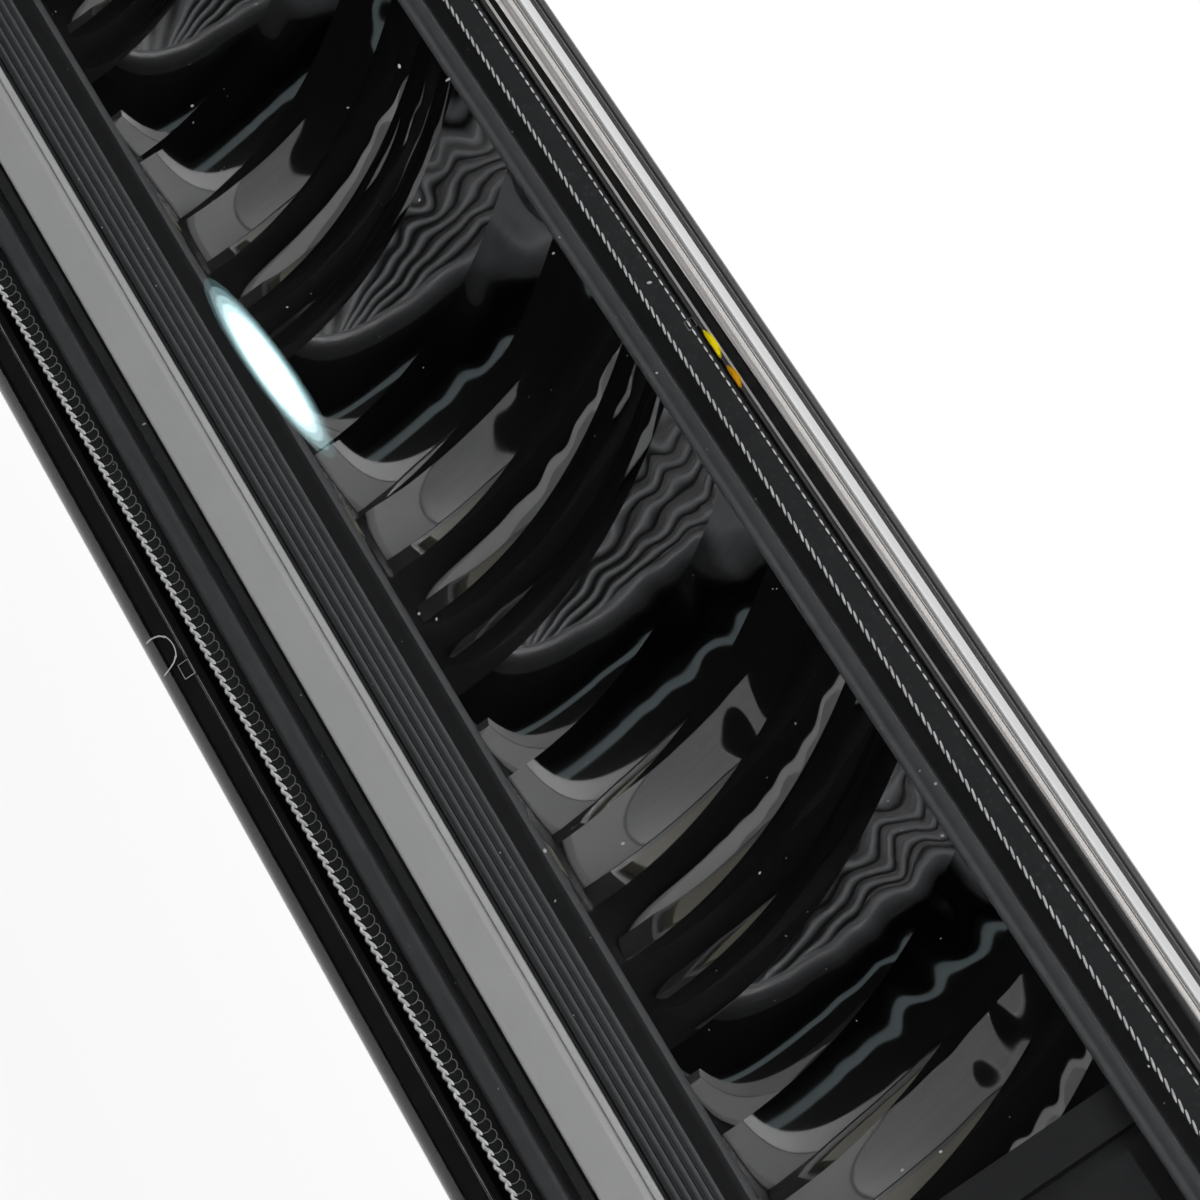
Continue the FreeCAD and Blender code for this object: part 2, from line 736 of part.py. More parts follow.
# Pressure vent
vent = rod(vent_head_radius, V(-vent_place, y_outer_back, inlet_z), V(0, vent_head_height, 0))
vent_rim = [e for e in vent.Edges if min(v.Y for v in e.Vertexes) > y_outer_back + vent_head_height - 0.01]
vent = vent.makeFillet(vent_head_height * 0.4, vent_rim)
nodes["vent_plug"] = vent.fuse(rod(vent_radius, V(-vent_place, y_inner_back - 0.5, inlet_z),
                                    V(0, back_wall + 0.5, 0)))

# Current driver on the back wall, on spacers, with its parts towards the free middle
driver_z1 = channels[0][1] - channel_radius - 0.6
driver_z0 = z_board + reflector_foot + small_head_height + driver_clearance
y_driver_back = y_inner_back - spacer_length
y_driver = y_driver_back - board_thickness
spacer_inset = small_head_radius + spacer_gap
spacer_places = []
for sx in (-1, 1):
    spacer_x = driver_length / 2 - 2 * spacer_radius
    for z in (driver_z0 + spacer_inset, driver_z1 - spacer_inset):
        spacer_places.append((sx * spacer_x, z))
        spacer_x = driver_length / 2 - 5 * spacer_radius
driver = block(-driver_length / 2, driver_length / 2, y_driver, y_driver_back, driver_z0, driver_z1)
spacers, driver_screws = [], []
for x, z in spacer_places:
    driver = driver.cut(rod(hole_radius, V(x, y_driver - 1, z), V(0, board_thickness + 2, 0)))
    ring = rod(spacer_radius, V(x, y_driver_back, z), V(0, spacer_length, 0))
    spacers.append(ring.cut(rod(hole_radius, V(x, y_driver_back - 1, z), V(0, spacer_length + 2, 0))))
    shank = rod(small_screw_radius, V(x, y_driver, z), V(0, y_inner_back - y_driver, 0))
    driver_screws.append(shank.fuse(rod(small_head_radius, V(x, y_driver - small_head_height, z),
                                        V(0, small_head_height, 0))))
nodes["driver_board"] = driver
nodes["driver_spacers"] = Part.Compound(spacers)
nodes["driver_screws"] = Part.Compound(driver_screws)
driver_middle = (driver_z0 + driver_z1) / 2
chip_z1 = driver_z1 - spacer_inset - small_head_radius - spacer_gap
inductor_z1 = driver_z1 - spacer_gap
inductor_z0 = inductor_z1 - inductor_side
y_inductor = y_vertex + reflector_wall - (inductor_z0 - z_focus) ** 2 / four_f + inductor_gap
inductors, capacitors, chips = [], [], []
for side in (-1, 1):
    x = side * inductor_place
    inductors.append(block(x - inductor_side / 2, x + inductor_side / 2, y_inductor, y_driver,
                           inductor_z0, inductor_z1))
    capacitors.append(rod(capacitor_radius, V(side * capacitor_place, y_driver, driver_middle),
                          V(0, -capacitor_length, 0)))
    for x in (side * inner_chip, side * outer_chip):
        chips.append(block(x - chip_side / 2, x + chip_side / 2, y_driver - chip_height, y_driver,
                           chip_z1 - chip_side, chip_z1))
nodes["driver_inductors"] = Part.Compound(inductors)
nodes["driver_capacitors"] = Part.Compound(capacitors)
nodes["driver_chips"] = Part.Compound(chips)

# End caps with a threaded hub on the tilt axis, their gaskets and screws
cap_outline = both_sides([
    (y_rim, body_half_height),
    (y_taper, body_half_height),
    (y_fin_tip + cap_margin, outer_z(y_fin_tip) + 1.5, 6.0),
])
cap = along_x(profile(cap_outline), cap_inner, cap_outer)
outer_edges = [e for e in cap.Edges if min(v.X for v in e.Vertexes) > cap_outer - 1e-6]
outer_edges = [e for e in outer_edges if max(v.Y for v in e.Vertexes) > y_rim + 0.01]
cap = cap.makeFillet(cap_edge_radius, outer_edges)
cap = cap.fuse(rod(hub_radius, V(cap_inner - hub_length, axis_depth, 0), V(hub_length + 1, 0, 0)))
cap = cap.cut(rod(bolt_radius + screw_clearance, V(cap_outer - thread_depth, axis_depth, 0),
                  V(thread_depth + 1, 0, 0)))
gasket = along_x(profile(body_outline).cut(profile(cavity_outline)), housing_half_length, cap_inner)
cap_screws = []
for y, z in channels:
    cap = cap.cut(rod(cap_screw_radius + hole_clearance, V(cap_inner - 1, y, z), V(cap_thickness + 2, 0, 0)))
    cap = cap.cut(rod(cap_head_radius + hole_clearance, V(cap_outer - cap_head_height - 0.3, y, z),
                      V(cap_thickness, 0, 0)))
    gasket = gasket.cut(rod(cap_screw_radius + hole_clearance, V(housing_half_length - 1, y, z),
                            V(gasket_thickness + 2, 0, 0)))
    head_x = cap_outer - cap_head_height - 0.3
    shank = rod(cap_screw_radius, V(head_x - cap_screw_length, y, z), V(cap_screw_length, 0, 0))
    cap_screws.append(shank.fuse(rod(cap_head_radius, V(head_x, y, z), V(cap_head_height, 0, 0))))
nodes["end_cap_right"] = cap
nodes["end_cap_left"] = mirrored(cap)
nodes["end_gasket_right"] = gasket
nodes["end_gasket_left"] = mirrored(gasket)
nodes["end_cap_screws"] = Part.Compound(cap_screws + [mirrored(s) for s in cap_screws])

# Pivots: bolt, washer and spacer ring on each side
along = V(1, 0, 0)
ring_x = cap_outer
plate_x = ring_x + spacer_ring_thickness + face_clearance
washer_x = plate_x + bracket_thickness + face_clearance
head_x = washer_x + washer_thickness
pivot = V(0, axis_depth, 0)
hole = bolt_radius + pivot_clearance
spacer_ring = rod(spacer_ring_radius, pivot + along * ring_x, along * spacer_ring_thickness)
spacer_ring = spacer_ring.cut(rod(hole, pivot + along * (ring_x - 1), along * (spacer_ring_thickness + 2)))
washer = rod(washer_radius, pivot + along * washer_x, along * washer_thickness)
washer = washer.cut(rod(hole, pivot + along * (washer_x - 1), along * (washer_thickness + 2)))
bolt = rod(bolt_radius, pivot + along * (cap_outer - thread_depth + 0.5),
           along * (head_x - cap_outer + thread_depth))
bolt = bolt.fuse(hexagon(bolt_flats, pivot + along * head_x, along * bolt_head_height))
nodes["tilt_spacers"] = Part.Compound([spacer_ring, mirrored(spacer_ring)])
nodes["tilt_washers"] = Part.Compound([washer, mirrored(washer)])
nodes["tilt_bolts"] = Part.Compound([bolt, mirrored(bolt)])

for shape in nodes.values():
    shape.translate(lamp_place)

# Brackets: a bent plate with a round head on the pivot and a slotted foot that turns outwards
foot_half = foot_width / 2
z_bend = bracket_thickness + bend_radius
drop = axis_height - z_bend
lean = math.atan2(foot_half, drop) - math.asin(bracket_top_radius / math.hypot(foot_half, drop))
side_y = bracket_top_radius * math.cos(lean)
side_z = axis_height + bracket_top_radius * math.sin(lean)
upright = Part.Face(Part.Wire([
    Part.LineSegment(V(0, -foot_half, z_bend), V(0, foot_half, z_bend)).toShape(),
    Part.LineSegment(V(0, foot_half, z_bend), V(0, side_y, side_z)).toShape(),
    Part.Arc(V(0, side_y, side_z), V(0, 0, axis_height + bracket_top_radius),
             V(0, -side_y, side_z)).toShape(),
    Part.LineSegment(V(0, -side_y, side_z), V(0, -foot_half, z_bend)).toShape(),
]))
bend_outer = bend_radius + bracket_thickness
foot_end = plate_x + foot_length
turn = math.sqrt(0.5)
bend_centre = V(plate_x + bend_outer, -foot_half, bend_outer)
bend = Part.Face(Part.Wire([
    Part.Arc(bend_centre + V(-bend_outer, 0, 0), bend_centre + V(-bend_outer * turn, 0, -bend_outer * turn),
             bend_centre + V(0, 0, -bend_outer)).toShape(),
    Part.LineSegment(bend_centre + V(0, 0, -bend_outer), bend_centre + V(0, 0, -bend_radius)).toShape(),
    Part.Arc(bend_centre + V(0, 0, -bend_radius), bend_centre + V(-bend_radius * turn, 0, -bend_radius * turn),
             bend_centre + V(-bend_radius, 0, 0)).toShape(),
    Part.LineSegment(bend_centre + V(-bend_radius, 0, 0), bend_centre + V(-bend_outer, 0, 0)).toShape(),
])).extrude(V(0, foot_width, 0))
foot = block(plate_x + bend_outer, foot_end, -foot_half, foot_half, 0, bracket_thickness)
foot_corners = [e for e in foot.Edges
                if abs(e.Vertexes[0].X - foot_end) < 1e-6 and abs(e.Vertexes[1].X - foot_end) < 1e-6
                and abs(e.Vertexes[0].Z - e.Vertexes[1].Z) > 1]
foot = foot.makeFillet(foot_corner_radius, foot_corners)
bracket = along_x(upright, plate_x, plate_x + bracket_thickness).fuse([bend, foot]).removeSplitter()
bracket = bracket.cut(rod(hole, V(plate_x - 1, 0, axis_height), along * (bracket_thickness + 2)))
slot_x = plate_x + slot_inset
half_run = (slot_length - slot_width) / 2
slot = block(slot_x - half_run, slot_x + half_run, -slot_width / 2, slot_width / 2, -1, bracket_thickness + 1)
for side in (-1, 1):
    slot = slot.fuse(rod(slot_width / 2, V(slot_x + side * half_run, 0, -1), V(0, 0, bracket_thickness + 2)))
bracket = bracket.cut(slot.removeSplitter())
nodes["bracket_right"] = bracket
nodes["bracket_left"] = mirrored(bracket)

os.makedirs("parts", exist_ok=True)
for name, shape in nodes.items():
    shape.exportStep("parts/" + name + ".step")
    state = "valid" if shape.isValid() else "INVALID"
    print(name, len(shape.Solids), "solids", round(shape.Volume, 1), "mm3", state)
print("slot spacing", 2 * slot_x, "tilt axis height", axis_height, "y_vertex", round(y_vertex, 2))
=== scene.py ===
# %% [markdown]
# # A slim light bar, close up
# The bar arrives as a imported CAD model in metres, and that model stays where it is.
# This lesson gives every solid its finish, adds the fine pieces that are too small for the solids,
# and sets up a camera that looks along the lens from close by.

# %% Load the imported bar
import json
import math
import random

import bpy
from mathutils import Matrix, Vector


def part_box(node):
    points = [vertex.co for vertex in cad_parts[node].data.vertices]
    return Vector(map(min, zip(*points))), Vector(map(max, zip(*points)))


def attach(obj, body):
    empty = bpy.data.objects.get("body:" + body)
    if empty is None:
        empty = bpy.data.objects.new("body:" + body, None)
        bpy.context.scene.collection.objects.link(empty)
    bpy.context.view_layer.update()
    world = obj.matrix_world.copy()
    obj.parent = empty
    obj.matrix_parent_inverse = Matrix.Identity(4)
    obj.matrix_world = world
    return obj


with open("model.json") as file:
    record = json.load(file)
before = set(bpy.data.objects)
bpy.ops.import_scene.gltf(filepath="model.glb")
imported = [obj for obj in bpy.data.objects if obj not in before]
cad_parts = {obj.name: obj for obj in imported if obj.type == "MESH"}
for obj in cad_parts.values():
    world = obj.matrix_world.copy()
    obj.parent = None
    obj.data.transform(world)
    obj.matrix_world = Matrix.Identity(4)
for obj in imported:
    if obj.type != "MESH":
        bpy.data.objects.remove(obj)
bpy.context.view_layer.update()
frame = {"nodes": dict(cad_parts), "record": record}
nodes = frame["nodes"]
lens_low, lens_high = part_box("front_lens")
lens_middle = (lens_low + lens_high) / 2

# %% [markdown]
# ## Camera
# The picture was taken with a long lens, close to the front, with the camera rolled so that the bar
# falls from the upper left to the lower right. Four numbers describe that: how far the bar turns out
# of the picture plane, how high the camera stands, how far away it is, and its roll.
# A matrix with the camera's own axes as columns is clearer here than three angles.

# %% Place the camera
BAR_TURN = math.radians(32)
CAMERA_LIFT = math.radians(5)
CAMERA_ROLL = math.radians(57.84)
CAMERA_DISTANCE = 0.2875
AIM_ALONG = -0.0559
AIM_ABOVE_MIDDLE = 0.0048
FOCAL_MM = 147.94

aim = Vector((AIM_ALONG, lens_low.y, lens_middle.z + AIM_ABOVE_MIDDLE))
towards_camera = Vector((math.sin(BAR_TURN), -math.cos(BAR_TURN) * math.cos(CAMERA_LIFT),
                         math.cos(BAR_TURN) * math.sin(CAMERA_LIFT)))
bar_in_picture = (Vector((1, 0, 0)) - towards_camera * towards_camera.x).normalized()
rise_in_picture = towards_camera.cross(bar_in_picture)
camera_right = bar_in_picture * math.cos(CAMERA_ROLL) + rise_in_picture * math.sin(CAMERA_ROLL)
camera_up = rise_in_picture * math.cos(CAMERA_ROLL) - bar_in_picture * math.sin(CAMERA_ROLL)

bpy.ops.object.camera_add()
camera = bpy.context.object
camera.name = "close_up_camera"
camera.data.lens = FOCAL_MM
camera.data.clip_start = 0.01
turned = Matrix((camera_right, camera_up, towards_camera)).transposed().to_4x4()
camera.matrix_world = Matrix.Translation(aim + towards_camera * CAMERA_DISTANCE) @ turned
bpy.context.scene.camera = camera
print("camera at", [round(x, 3) for x in camera.matrix_world.translation])

# %% [markdown]
# ## Writing shader maths
# Node trees are easier to read as expressions. One small class wraps an output socket: arithmetic on
# it adds Math nodes, and its `node` method adds any other node, with its settings first and then the
# values or wires of its sockets.


# %% A wire between nodes
class Wire:
    """An output socket in a node tree. Arithmetic on wires adds Math nodes."""

    def __init__(self, tree, socket):
        self.tree = tree
        self.socket = socket

    def node(self, kind, settings=None, inputs=None, output=0):
        """Adds a node, sets it up, feeds its sockets and gives back one output."""
        made = self.tree.nodes.new(kind)
        for name, value in (settings or {}).items():
            if name == "stops":
                set_stops(made.color_ramp.elements, value)
            else:
                setattr(made, name, value)
        for name, value in (inputs or {}).items():
            feed(made, name, value)
        return Wire(self.tree, made.outputs[output])

    def beside(self, output):
        """Another output of the node that this wire comes from."""
        return Wire(self.tree, self.socket.node.outputs[output])

    def maths(self, operation, first, second=0.0):
        return self.node("ShaderNodeMath", {"operation": operation}, {0: first, 1: second})

    def __add__(self, other):
        return self.maths("ADD", self, other)

    __radd__ = __add__

    def __sub__(self, other):
        return self.maths("SUBTRACT", self, other)

    def __rsub__(self, other):
        return self.maths("SUBTRACT", other, self)

    def __mul__(self, other):
        return self.maths("MULTIPLY", self, other)

    __rmul__ = __mul__


def set_stops(elements, stops):
    """Gives a colour ramp its stops, from pairs of place and grey level."""
    while len(elements) < len(stops):
        elements.new(1.0)
    for element, (place, level) in zip(elements, stops):
        element.position = place
        element.color = (level, level, level, 1.0)


def feed(node, name, value):
    """Sets a node's socket to a value, or links a wire to it."""
    if isinstance(value, Wire):
        value.tree.links.new(value.socket, node.inputs[name])
    else:
        node.inputs[name].default_value = value


def grey(level):
    return (level, level, level, 1.0)


print("wires ready")

# %% [markdown]
# ## White surroundings, dark front
# The bar was photographed against white, but its mirrors look down and forwards into a dark studio.
# The world is white for the camera and for rays that leave upwards or to the back, and dark for mirror
# and glass rays that leave to the front. Diffuse rays get a plain even grey, so that colours render
# about as they are written.

# %% World
AMBIENT = 0.34
FRONT_DARK = 0.012
BACK_SHARE, TOP_SHARE = 0.9, 0.7
WHITE_FROM = 0.45

bpy.context.scene.view_settings.view_transform = "Standard"
world = bpy.data.worlds.new("white_studio")
bpy.context.scene.world = world
world.use_nodes = True
sky = world.node_tree
direction = Wire(sky, sky.nodes.new("ShaderNodeTexCoord").outputs["Generated"])
towards_back = direction.node("ShaderNodeSeparateXYZ", None, {0: direction}, "Y")
towards_top = towards_back.beside("Z")
facing_white = towards_back * BACK_SHARE + towards_top * TOP_SHARE
brightness = facing_white.node("ShaderNodeValToRGB", {"stops": ((0.0, FRONT_DARK), (WHITE_FROM, 1.0))},
                               {0: facing_white})
light_path = Wire(sky, sky.nodes.new("ShaderNodeLightPath").outputs["Is Camera Ray"])
mirrored = light_path.maths("MAXIMUM", light_path.beside("Is Glossy Ray"),
                            light_path.beside("Is Transmission Ray"))
seen_glow = direction.node("ShaderNodeMix", {"data_type": "RGBA"},
                           {0: mirrored, 6: grey(AMBIENT), 7: brightness}, 2)
sky_colour = direction.node("ShaderNodeMix", {"data_type": "RGBA"},
                            {0: light_path, 6: seen_glow, 7: grey(1.0)}, 2)
feed(sky.nodes["Background"], "Color", sky_colour)
print("world", world.name)


# %% [markdown]
# ## Lamps
# Two softboxes stand above the bar, one in front of it and one behind. The bright streak on the lens is
# the mirror image of a far lamp, and it fades out towards its edge. An area lamp has a sharp edge, so
# oval lamps stand in front of one another, each smaller and brighter than the last. They stand where the
# lens mirrors them into the camera, which is the line of sight turned over at the lens front.


# %% Softboxes
def softbox(name, place, target, size, power, colour=(1.0, 1.0, 1.0)):
    """A rectangular lamp that faces its target."""
    bpy.ops.object.light_add(type="AREA", location=place)
    lamp = bpy.context.object
    lamp.name = name
    lamp.data.shape = "RECTANGLE"
    lamp.data.size, lamp.data.size_y = size
    lamp.data.energy = power
    lamp.data.color = colour
    lamp.rotation_euler = (Vector(target) - Vector(place)).to_track_quat("-Z", "Y").to_euler()
    return lamp


softbox("front_softbox", (0.06, -0.60, 0.50), lens_middle, size=(0.55, 0.40), power=3.6)
softbox("back_softbox", (0.05, 0.45, 0.55), lens_middle, size=(0.70, 0.40), power=2.2)

# %% Streak on the lens
STREAK_PLACE = Vector((-0.0838, lens_low.y, lens_middle.z - 0.0049))
STREAK_REACH = 0.3
STREAK_SIZE = (0.0254, 0.0045)
STREAK_STEPS = 8
STREAK_SHRINK = 0.1
STREAK_GLOW = 13.0
STREAK_GAP = 0.0005
RED_LOSS, GREEN_LOSS = 0.45, 0.05

sight = (camera.matrix_world.translation - STREAK_PLACE).normalized()
bounce = Vector((-sight.x, sight.y, -sight.z))
for step in range(STREAK_STEPS):
    shrink = 1.0 - STREAK_SHRINK * step
    size = [side * shrink for side in STREAK_SIZE]
    glow = STREAK_GLOW * (step + 1) / STREAK_STEPS
    power = glow * math.pi * (math.pi / 4 * size[0] * size[1])
    tint = (1.0 - RED_LOSS * shrink ** 2, 1.0 - GREEN_LOSS * shrink, 1.0)
    place = STREAK_PLACE + bounce * (STREAK_REACH - STREAK_GAP * step)
    streak = softbox(f"streak_{step}", place, STREAK_PLACE, size, power, tint)
    streak.data.shape = "ELLIPSE"
print("streak of", STREAK_STEPS, "lamps")

# %% [markdown]
# ## Modelling helpers
# The same few operations come back in many pieces: putting a placed primitive's turn and size into its
# mesh, a box with softened edges, a cut by a plane, and a row of copies along the bar.


# %% Helpers for new pieces
def settle():
    """Puts an object's place, turn and size into its mesh."""
    bpy.ops.object.transform_apply(location=True, rotation=True, scale=True)


def at_lens(along, behind, above):
    """A point from its place along the bar, behind the lens front and above the lens middle."""
    return Vector((along, lens_low.y + behind, lens_middle.z + above))


def soft_block(name, low, high, bevel):
    """A box between two corners with bevelled edges."""
    bpy.ops.object.select_all(action="DESELECT")
    bpy.ops.mesh.primitive_cube_add(size=1)
    block = bpy.context.object
    block.name = name
    block.scale = [b - a for a, b in zip(low, high)]
    block.location = [(a + b) / 2 for a, b in zip(low, high)]
    settle()
    bpy.ops.object.mode_set(mode="EDIT")
    bpy.ops.mesh.select_all(action="SELECT")
    bpy.ops.mesh.bevel(offset=bevel, segments=2)
    bpy.ops.object.mode_set(mode="OBJECT")
    return block


def cut_away(place, normal):
    """Cuts the active piece with a plane, closes the cut and drops what lies behind the plane."""
    bpy.ops.object.mode_set(mode="EDIT")
    bpy.ops.mesh.select_all(action="SELECT")
    bpy.ops.mesh.bisect(plane_co=place, plane_no=normal, use_fill=True, clear_inner=True)
    bpy.ops.object.mode_set(mode="OBJECT")


def repeat_along(piece, count, pitch, weld=0.0):
    """Copies a piece along the bar, and joins points that lie closer than the weld."""
    row = piece.modifiers.new("row", "ARRAY")
    row.count = count
    row.use_relative_offset = False
    row.use_constant_offset = True
    row.constant_offset_displace = (pitch, 0, 0)
    if weld:
        row.use_merge_vertices = True
        row.merge_threshold = weld
    bpy.ops.object.modifier_apply(modifier="row")


def finish_piece(piece, material):
    """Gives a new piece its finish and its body."""
    piece.data.materials.append(material)
    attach(piece, "lamp")
    return piece


print("helpers ready")

# %% [markdown]
# ## Floor
# The bar stands on its feet on a pale floor. The floor is white to the camera and still takes a soft
# shadow. A black card lies in front of and under the lens, where a photographer puts one to keep
# mirrors dark. Only mirror and glass rays see it.

# %% Floor and black card
FLOOR_REACH = 3.0
FLOOR_DROP = 0.0003
FLOOR_WHITE = 0.9
CARD_HEIGHT = 0.002
CARD_BACK = -0.045


def flat_sheet(name, low, high, height):
    """A level rectangle between two corners."""
    bpy.ops.object.select_all(action="DESELECT")
    bpy.ops.mesh.primitive_plane_add(size=1)
    sheet = bpy.context.object
    sheet.name = name
    sheet.scale = (high[0] - low[0], high[1] - low[1], 1)
    sheet.location = ((low[0] + high[0]) / 2, (low[1] + high[1]) / 2, height)
    settle()
    return sheet


def floor_finish():
    """Nearly white to the camera, so that only a faint shadow shows, and pale to everything else."""
    material = bpy.data.materials.new("pale_floor")
    material.use_nodes = True
    tree = material.node_tree
    shader = tree.nodes["Principled BSDF"]
    feed(shader, "Base Color", grey(0.86))
    feed(shader, "Roughness", 0.9)
    path = Wire(tree, tree.nodes.new("ShaderNodeLightPath").outputs["Is Camera Ray"])
    seen = path
    for kind in ("Is Glossy Ray", "Is Transmission Ray"):
        seen = seen.maths("MAXIMUM", seen, path.beside(kind))
    white = seen.node("ShaderNodeEmission", None, {"Color": grey(1.0), "Strength": 1.0})
    mixed = seen.node("ShaderNodeMixShader", None,
                      {0: seen * FLOOR_WHITE, 1: Wire(tree, shader.outputs[0]), 2: white})
    feed(tree.nodes["Material Output"], "Surface", mixed)
    return material


def card_finish():
    """Black paper that gives back nearly no light."""
    material = bpy.data.materials.new("black_card")
    material.use_nodes = True
    shader = material.node_tree.nodes["Principled BSDF"]
    feed(shader, "Base Color", grey(0.01))
    feed(shader, "Roughness", 1.0)
    feed(shader, "Specular IOR Level", 0.0)
    return material


floor = flat_sheet("floor", (-FLOOR_REACH, -FLOOR_REACH), (FLOOR_REACH, FLOOR_REACH), -FLOOR_DROP)
floor.data.materials.append(floor_finish())
card = flat_sheet("black_card", (-FLOOR_REACH, -FLOOR_REACH), (FLOOR_REACH, CARD_BACK), CARD_HEIGHT)
card.data.materials.append(card_finish())
card.visible_camera = False
card.visible_diffuse = False
card.visible_shadow = False
print("stage", floor.name, card.name)

# %% [markdown]
# ## Plain finishes
# Each finish is a Principled shader whose colour, roughness and small relief come from noise in the
# piece's own coordinates, at the grain that the real surface has. Most slots need no more than a fine
# grain, so one function makes them all.


# %% Grained finishes
def new_finish(name):
    """A new material, its shader and the wire of its Object coordinates."""
    material = bpy.data.materials.new(name)
    material.use_nodes = True
    tree = material.node_tree
    place = Wire(tree, tree.nodes.new("ShaderNodeTexCoord").outputs["Object"])
    return material, tree.nodes["Principled BSDF"], place


def noise(place, grain, detail=1.0):
    """Noise from 0 to 1 whose blobs are about as large as the grain, in metres."""
    return place.node("ShaderNodeTexNoise", None, {"Vector": place, "Scale": 1 / grain, "Detail": detail})


def blend(mask, dark, light):
    return mask.node("ShaderNodeMix", {"data_type": "RGBA"}, {0: mask, 6: dark, 7: light}, 2)


def relief(height, depth):
    return height.node("ShaderNodeBump", None, {"Strength": 1.0, "Distance": depth, "Height": height})


def grained(name, dark, light, grain, rough, depth, metallic=0.0, gloss=0.5):
    """A finish with a fine grain: mottled colour, uneven gloss and a little relief."""
    material, shader, place = new_finish(name)
    mottle = noise(place, grain)
    feed(shader, "Base Color", blend(mottle, dark, light))
    feed(shader, "Roughness", noise(place, grain * 3) * 0.12 + (rough - 0.06))
    feed(shader, "Normal", relief(mottle, depth))
    feed(shader, "Metallic", metallic)
    feed(shader, "Specular IOR Level", gloss)
    return material


plain_finishes = (
    ("seal_rubber", grey(0.02), grey(0.05), 0.0006, 0.6, 0.00002),
    ("board_white", (0.78, 0.77, 0.74, 1), (0.86, 0.85, 0.82, 1), 0.0008, 0.5, 0.000003),
    ("led_case", grey(0.72), grey(0.8), 0.0005, 0.5, 0.000002),
    ("led_phosphor", (0.16, 0.15, 0.12, 1), (0.2, 0.19, 0.14, 1), 0.0003, 0.6, 0.000002),
    ("screw_steel", grey(0.45), grey(0.6), 0.0007, 0.32, 0.000004, 1.0),
    ("opal_plastic", grey(0.338), grey(0.366), 0.004, 0.45, 0.0000005),
    ("bracket_coat", grey(0.012), grey(0.022), 0.0006, 0.5, 0.00002),
    ("black_plastic", grey(0.015), grey(0.025), 0.0008, 0.45, 0.00001),
    ("board_green", (0.01, 0.09, 0.03, 1), (0.02, 0.13, 0.05, 1), 0.001, 0.4, 0.000003),
    ("chip_black", grey(0.02), grey(0.03), 0.0004, 0.5, 0.000004),
    ("can_aluminium", grey(0.6), grey(0.7), 0.0005, 0.3, 0.000003, 1.0),
)
finishes = {values[0]: grained(*values) for values in plain_finishes}
print(len(finishes), "plain finishes")

# %% [markdown]
# ## Lens bond and body coat
# The real lens is bonded into the body with silicone, which shows through the lens edge as two pale
# beads along the top; their pale bands are partly the bond's colour and partly a painted reflection of the
# white background seen through the lens wall. The body is black powder coat, and its rim carries a painted
# highlight, pale grey along its front edge, for the white background mirrored there. Both
# change with the place on the bar, so their masks are made from the coordinates.

# %% Bond and coat
BOND_FROM, BOND_TO = 0.0186, 0.0212
BOND_AND_REFLECTION_TONES = ((18.75, 0.0), (18.85, 0.75), (19.3, 0.75), (19.36, 0.03), (19.72, 0.03), (19.8, 1.0),
              (20.6, 0.89), (20.72, 0.4), (20.85, 0.36), (21.05, 0.5))
RIM_HIGHLIGHT_HEIGHT = 0.02128
RIM_HIGHLIGHT_BACK = 0.0125
RIM_HIGHLIGHT_START = 0.072
RIM_HIGHLIGHT_RISE = 0.022
RIM_HIGHLIGHT_TOP = 0.2


def separate(place):
    """Wires for a point's place along the bar, behind the lens front and above the lens middle."""
    along = place.node("ShaderNodeSeparateXYZ", None, {0: place}, "X")
    return along, along.beside("Y") - lens_low.y, along.beside("Z") - lens_middle.z


def lens_bond_and_reflection():
    """Silicone bond behind the lens rim: two pale beads along the top, partly painted reflection of the white
    background, and dark elsewhere.
    """
    material, shader, place = new_finish("lens_bond_and_reflection")
    _, _, above = separate(place)
    mottle = noise(place, 0.0012)
    rise = (above - BOND_FROM) * (1 / (BOND_TO - BOND_FROM))
    # Painted reflection: the pale tones and their gradient over the height are partly a painted image of the
    # white background seen through the lens wall.
    stops = [((height / 1000 - BOND_FROM) / (BOND_TO - BOND_FROM), tone) for height, tone in BOND_AND_REFLECTION_TONES]
    pale = rise.node("ShaderNodeValToRGB", {"stops": stops}, {0: rise})
    feed(shader, "Base Color", blend(pale, blend(mottle, grey(0.015), grey(0.03)), (0.86, 0.82, 0.79, 1)))
    feed(shader, "Roughness", mottle * 0.1 + 0.45)
    feed(shader, "Normal", relief(mottle, 0.000005))
    return material


def coated_body():
    """Black powder coat, with a painted highlight, pale grey, along the front edge of the rim, most on its
    lower side.
    """
    material, shader, place = new_finish("body_coat")
    along, behind, above = separate(place)
    grain = noise(place, 0.0005)
    height = above.maths("ABSOLUTE", above)
    at_edge = height.maths("GREATER_THAN", height, RIM_HIGHLIGHT_HEIGHT)
    rim = at_edge * behind.maths("LESS_THAN", behind, RIM_HIGHLIGHT_BACK)
    # Painted highlight: pale grey along the rim's front edge stands in for the white background mirrored
    # there, growing along the bar on the lower side.
    rim_highlight_ramp = (along + RIM_HIGHLIGHT_START) * (1 / RIM_HIGHLIGHT_RISE)
    share = rim_highlight_ramp.node("ShaderNodeClamp", None, {0: rim_highlight_ramp})
    share = share.maths("MAXIMUM", share * above.maths("LESS_THAN", above, 0.0), RIM_HIGHLIGHT_TOP)
    feed(shader, "Base Color", blend(rim * share, blend(grain, grey(0.012), grey(0.022)), grey(0.4)))
    feed(shader, "Roughness", grain * 0.12 + 0.44)
    feed(shader, "Normal", relief(grain * (1 - rim), 0.000006))
    return material


finishes["body_coat"] = coated_body()
print("body coat and bond ready")
